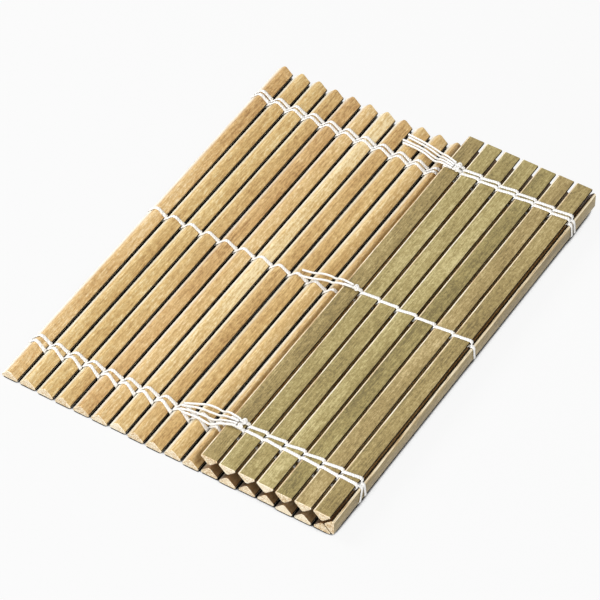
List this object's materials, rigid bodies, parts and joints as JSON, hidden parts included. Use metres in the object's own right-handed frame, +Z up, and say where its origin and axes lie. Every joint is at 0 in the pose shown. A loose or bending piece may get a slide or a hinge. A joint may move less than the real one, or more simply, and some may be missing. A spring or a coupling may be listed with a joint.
{
  "type": "sushi rolling mat",
  "caption": "Bamboo rolling mat of ridged slats tied side by side with cotton strings in three rows, lying with one end folded over.",
  "frame": {"origin": "on the table, under the centre of the folded mat's box", "axes": "+Z up, +Y along the slats, away from their front ends, +X across the slats, from the single layer towards the fold"},
  "size_m": [0.1822, 0.24, 0.0153],
  "materials": {
    "bamboo": "satin",
    "cotton": "matte"
  },
  "bodies": {
    "link_01": {"slat_01": "bamboo", "string_wrap_01": "cotton"},
    "link_02": {"slat_02": "bamboo", "string_wrap_02": "cotton"},
    "link_03": {"slat_03": "bamboo", "string_wrap_03": "cotton"},
    "link_04": {"slat_04": "bamboo", "string_wrap_04": "cotton"},
    "link_05": {"slat_05": "bamboo", "string_wrap_05": "cotton"},
    "link_06": {"slat_06": "bamboo", "string_wrap_06": "cotton"},
    "link_07": {"slat_07": "bamboo", "string_wrap_07": "cotton"},
    "link_08": {"slat_08": "bamboo", "string_wrap_08": "cotton"},
    "link_09": {"slat_09": "bamboo", "string_wrap_09": "cotton"},
    "link_10": {"slat_10": "bamboo", "string_wrap_10": "cotton"},
    "link_11": {"slat_11": "bamboo", "string_wrap_11": "cotton"},
    "link_12": {"slat_12": "bamboo", "string_wrap_12": "cotton"},
    "link_13": {"slat_13": "bamboo", "string_wrap_13": "cotton"},
    "link_14": {"slat_14": "bamboo", "string_wrap_14": "cotton"},
    "link_15": {"slat_15": "bamboo", "string_wrap_15": "cotton"},
    "link_16": {"slat_16": "bamboo", "string_wrap_16": "cotton"},
    "link_17": {"slat_17": "bamboo", "string_wrap_17": "cotton"},
    "link_18": {"slat_18": "bamboo", "string_wrap_18": "cotton"},
    "link_19": {"slat_19": "bamboo", "string_wrap_19": "cotton"},
    "link_20": {"slat_20": "bamboo", "string_wrap_20": "cotton"},
    "link_21": {"slat_21": "bamboo", "string_wrap_21": "cotton"},
    "link_22": {"slat_22": "bamboo", "string_wrap_22": "cotton"},
    "link_23": {"slat_23": "bamboo", "string_wrap_23": "cotton"},
    "link_24": {"slat_24": "bamboo", "string_wrap_24": "cotton"},
    "link_25": {"slat_25": "bamboo", "string_wrap_25": "cotton"},
    "link_26": {"slat_26": "bamboo", "string_wrap_26": "cotton", "end_knot_front": "cotton", "end_knot_middle": "cotton", "end_knot_back": "cotton", "string_tail_front": "cotton", "string_tail_middle": "cotton", "string_tail_back": "cotton"}
  },
  "joints": [
    {"name": "string_hinge_01", "type": "hinge", "parent": "link_02", "child": "link_01", "pos_m": [-0.081, 0, 0.0021], "axis": [0, -1, 0], "range_deg": [-90, 30]},
    {"name": "string_hinge_02", "type": "hinge", "parent": "link_03", "child": "link_02", "pos_m": [-0.071, 0, 0.0021], "axis": [0, 1, 0], "range_deg": [-30, 90]},
    {"name": "string_hinge_03", "type": "hinge", "parent": "link_04", "child": "link_03", "pos_m": [-0.061, 0, 0.0021], "axis": [0, 1, 0], "range_deg": [-30, 90]},
    {"name": "string_hinge_04", "type": "hinge", "parent": "link_05", "child": "link_04", "pos_m": [-0.051, 0, 0.0021], "axis": [0, -1, 0], "range_deg": [-90, 30]},
    {"name": "string_hinge_05", "type": "hinge", "parent": "link_06", "child": "link_05", "pos_m": [-0.041, 0, 0.0021], "axis": [0, 1, 0], "range_deg": [-30, 90]},
    {"name": "string_hinge_06", "type": "hinge", "parent": "link_07", "child": "link_06", "pos_m": [-0.031, 0, 0.0021], "axis": [0, -1, 0], "range_deg": [-90, 30]},
    {"name": "string_hinge_07", "type": "hinge", "parent": "link_08", "child": "link_07", "pos_m": [-0.021, 0, 0.0021], "axis": [0, 1, 0], "range_deg": [-30, 90]},
    {"name": "string_hinge_08", "type": "hinge", "parent": "link_09", "child": "link_08", "pos_m": [-0.011, 0, 0.0021], "axis": [0, -1, 0], "range_deg": [-90, 30]},
    {"name": "string_hinge_09", "type": "hinge", "parent": "link_10", "child": "link_09", "pos_m": [-0.001, 0, 0.0021], "axis": [0, 1, 0], "range_deg": [-30, 90]},
    {"name": "string_hinge_10", "type": "hinge", "parent": "link_11", "child": "link_10", "pos_m": [0.009, 0, 0.0021], "axis": [0, -1, 0], "range_deg": [-90, 30]},
    {"name": "string_hinge_11", "type": "hinge", "parent": "link_12", "child": "link_11", "pos_m": [0.019, 0, 0.0021], "axis": [0, 1, 0], "range_deg": [-30, 75]},
    {"name": "string_hinge_12", "type": "hinge", "parent": "link_13", "child": "link_12", "pos_m": [0.029, 0, 0.0021], "axis": [0, -1, 0], "range_deg": [0, 30]},
    {"name": "string_hinge_13", "type": "hinge", "parent": "link_14", "child": "link_13", "pos_m": [0.039, 0, 0.0021], "axis": [0, 1, 0], "range_deg": [-30, 0]},
    {"name": "string_hinge_14", "type": "hinge", "parent": "link_15", "child": "link_14", "pos_m": [0.049, 0, 0.0021], "axis": [0, -1, 0], "range_deg": [0, 30]},
    {"name": "string_hinge_15", "type": "hinge", "parent": "link_15", "child": "link_16", "pos_m": [0.059, 0, 0.0021], "axis": [0, -1, 0], "range_deg": [-30, 0]},
    {"name": "string_hinge_16", "type": "hinge", "parent": "link_16", "child": "link_17", "pos_m": [0.069, 0, 0.0021], "axis": [0, 1, 0], "range_deg": [0, 30]},
    {"name": "string_hinge_17", "type": "hinge", "parent": "link_17", "child": "link_18", "pos_m": [0.079, 0, 0.0021], "axis": [0, -1, 0], "range_deg": [-30, 0]},
    {"name": "string_hinge_18", "type": "hinge", "parent": "link_18", "child": "link_19", "pos_m": [0.089, 0, 0.0021], "axis": [0, 1, 0], "range_deg": [0, 120]},
    {"name": "string_hinge_19", "type": "hinge", "parent": "link_19", "child": "link_20", "pos_m": [0.089, 0, 0.0117], "axis": [0, -1, 0], "range_deg": [-120, 0]},
    {"name": "string_hinge_20", "type": "hinge", "parent": "link_20", "child": "link_21", "pos_m": [0.079, 0, 0.0117], "axis": [0, 1, 0], "range_deg": [0, 30]},
    {"name": "string_hinge_21", "type": "hinge", "parent": "link_21", "child": "link_22", "pos_m": [0.069, 0, 0.0117], "axis": [0, -1, 0], "range_deg": [-30, 0]},
    {"name": "string_hinge_22", "type": "hinge", "parent": "link_22", "child": "link_23", "pos_m": [0.059, 0, 0.0117], "axis": [0, 1, 0], "range_deg": [0, 30]},
    {"name": "string_hinge_23", "type": "hinge", "parent": "link_23", "child": "link_24", "pos_m": [0.049, 0, 0.0117], "axis": [0, -1, 0], "range_deg": [-30, 0]},
    {"name": "string_hinge_24", "type": "hinge", "parent": "link_24", "child": "link_25", "pos_m": [0.039, 0, 0.0117], "axis": [0, 1, 0], "range_deg": [0, 30]},
    {"name": "string_hinge_25", "type": "hinge", "parent": "link_25", "child": "link_26", "pos_m": [0.029, 0, 0.0117], "axis": [0, -1, 0], "range_deg": [-30, 0], "deforming": ["string_tail_front", "string_tail_middle", "string_tail_back"]}
  ]
}
